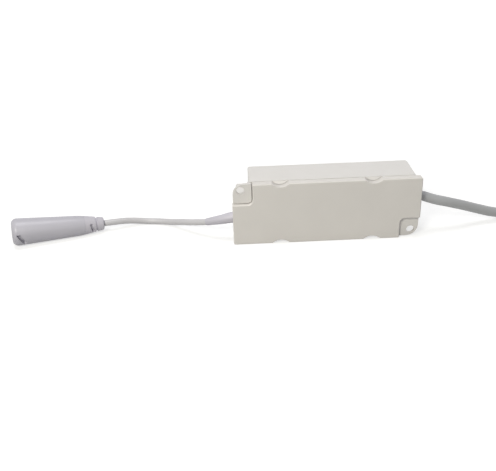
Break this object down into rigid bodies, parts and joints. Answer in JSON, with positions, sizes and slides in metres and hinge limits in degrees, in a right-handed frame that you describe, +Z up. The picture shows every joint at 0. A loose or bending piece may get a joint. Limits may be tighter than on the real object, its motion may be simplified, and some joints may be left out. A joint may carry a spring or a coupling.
{
  "type": "led driver",
  "caption": "Snap-together plastic LED driver with two corner screw ears, a mains lead and a short output lead ending in a tapered in-line connector.",
  "frame": {"origin": "middle of the housing's base, on the surface that the driver stands on", "axes": "+X along the housing's length towards the mains lead, +Y from the cover towards the back, +Z up"},
  "size_m": [0.4261, 0.0377, 0.0395],
  "materials": {
    "shell_plastic": "moulded light grey",
    "cover_plastic": "moulded grey, fine texture",
    "mains_jacket": "smooth grey PVC",
    "output_jacket": "smooth pale grey PVC",
    "relief_rubber": "soft moulded grey",
    "connector_plastic": "moulded grey",
    "insert_plastic": "moulded black",
    "contact_metal": "bright nickel plate",
    "tinned_wire": "tinned copper",
    "live_insulation": "brown",
    "neutral_insulation": "blue",
    "positive_insulation": "red",
    "negative_insulation": "black",
    "nylon": "natural white",
    "board_laminate": "green solder mask",
    "ferrite": "dark matt",
    "copper_wire": "enamelled copper",
    "winding_tape": "yellow tape",
    "capacitor_case": "yellow",
    "blue_coating": "dipped blue",
    "brown_coating": "dipped brown",
    "black_epoxy": "moulded black",
    "capacitor_sleeve": "dark sleeve",
    "fuse_glass": "clear tube",
    "heatsink_metal": "plain extruded"
  },
  "bodies": {
    "root": {"housing_shell": "shell_plastic", "housing_cover": "cover_plastic", "mains_lead": "mains_jacket", "mains_jacket_end": "mains_jacket", "output_lead": "output_jacket", "output_jacket_end": "output_jacket", "output_boot": "relief_rubber", "mains_bushing": "relief_rubber", "connector_relief": "relief_rubber", "connector_body": "connector_plastic", "connector_insert": "insert_plastic", "connector_contact": "contact_metal", "connector_pin": "contact_metal", "live_strand": "tinned_wire", "neutral_strand": "tinned_wire", "live_core": "live_insulation", "live_inner_wire": "live_insulation", "neutral_core": "neutral_insulation", "neutral_inner_wire": "neutral_insulation", "positive_inner_wire": "positive_insulation", "negative_inner_wire": "negative_insulation", "cable_tie": "nylon", "circuit_board": "board_laminate", "choke_core": "ferrite", "transformer_core": "ferrite", "output_choke_core": "ferrite", "choke_winding_upper": "copper_wire", "choke_winding_lower": "copper_wire", "output_choke_winding": "copper_wire", "transformer_winding": "winding_tape", "x_capacitor": "capacitor_case", "varistor": "blue_coating", "safety_capacitor": "blue_coating", "film_capacitor": "brown_coating", "bridge_rectifier": "black_epoxy", "controller_chip": "black_epoxy", "optocoupler": "black_epoxy", "output_diode": "black_epoxy", "switching_transistor": "black_epoxy", "transformer_bobbin": "black_epoxy", "bulk_capacitor": "capacitor_sleeve", "output_capacitor_inner": "capacitor_sleeve", "output_capacitor_outer": "capacitor_sleeve", "fuse": "fuse_glass", "heatsink": "heatsink_metal"}
  },
  "joints": []
}
